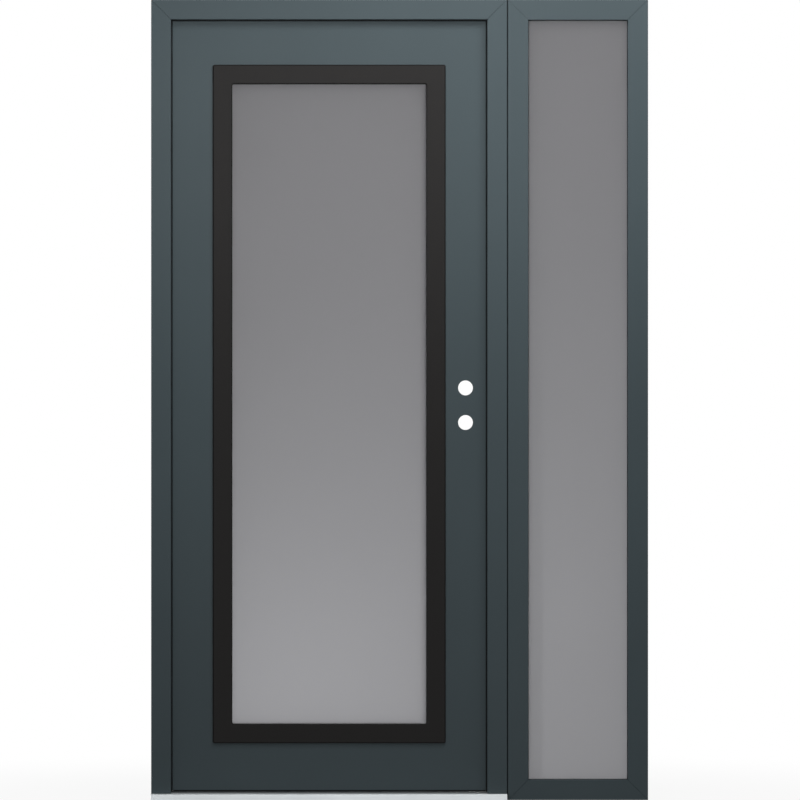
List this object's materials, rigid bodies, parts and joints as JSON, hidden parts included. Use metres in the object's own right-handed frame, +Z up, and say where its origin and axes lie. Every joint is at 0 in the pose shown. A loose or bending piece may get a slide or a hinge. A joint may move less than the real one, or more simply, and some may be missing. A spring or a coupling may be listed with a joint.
{
  "type": "entrance door with sidelight",
  "caption": "Slate grey inward-opening entrance door with a full satin glass lite in a dark surround, lock bores, an aluminium sill, and a fixed sidelight coupled on its lock side.",
  "frame": {"origin": "on the floor under the middle of the unit's width, halfway through the frame's depth, on the underside of the sill", "axes": "+X to the right seen from outside, +Y into the building, +Z up"},
  "size_m": [1.2614, 0.1295, 2.032],
  "materials": {
    "frame_coat": "satin powder coat",
    "leaf_coat": "satin powder coat",
    "surround_coat": "satin",
    "satin_glass": "satin etched",
    "spacer_bar": "mill",
    "black_rubber": "matt",
    "sill_metal": "anodised",
    "saddle_metal": "dark anodised",
    "hinge_steel": "satin",
    "stile_board": "sealed edge",
    "core_foam": "rigid foam"
  },
  "bodies": {
    "frame": {"coupling_strip": "black_rubber", "door_head": "frame_coat", "door_sill": "sill_metal", "head_seal": "black_rubber", "hinge_bottom_jamb_plate": "hinge_steel", "hinge_bottom_pin": "hinge_steel", "hinge_jamb": "frame_coat", "hinge_middle_jamb_plate": "hinge_steel", "hinge_middle_pin": "hinge_steel", "hinge_side_seal": "black_rubber", "hinge_top_jamb_plate": "hinge_steel", "hinge_top_pin": "hinge_steel", "lock_jamb": "frame_coat", "lock_side_seal": "black_rubber", "sidelight_bottom_rail": "frame_coat", "sidelight_bottom_rail_bead": "frame_coat", "sidelight_inner_gasket": "black_rubber", "sidelight_inner_pane": "satin_glass", "sidelight_left_stile": "frame_coat", "sidelight_left_stile_bead": "frame_coat", "sidelight_outer_gasket": "black_rubber", "sidelight_outer_pane": "satin_glass", "sidelight_right_stile": "frame_coat", "sidelight_right_stile_bead": "frame_coat", "sidelight_spacer": "spacer_bar", "sidelight_top_rail": "frame_coat", "sidelight_top_rail_bead": "frame_coat", "sill_saddle": "saddle_metal"},
    "leaf": {"bottom_rail": "stile_board", "bottom_sweep": "black_rubber", "hinge_bottom_leaf_plate": "hinge_steel", "hinge_middle_leaf_plate": "hinge_steel", "hinge_stile": "stile_board", "hinge_top_leaf_plate": "hinge_steel", "inner_lite_frame": "surround_coat", "inner_skin": "leaf_coat", "leaf_core": "core_foam", "lite_inner_pane": "satin_glass", "lite_outer_pane": "satin_glass", "lite_spacer": "spacer_bar", "lock_block": "stile_board", "lock_stile": "stile_board", "outer_lite_frame": "surround_coat", "outer_skin": "leaf_coat", "top_rail": "stile_board"}
  },
  "joints": [
    {"name": "door_swing", "type": "hinge", "parent": "frame", "child": "leaf", "pos_m": [-0.6012, 0.0525, 1], "axis": [0, 0, 1], "range_deg": [0, 170]}
  ]
}
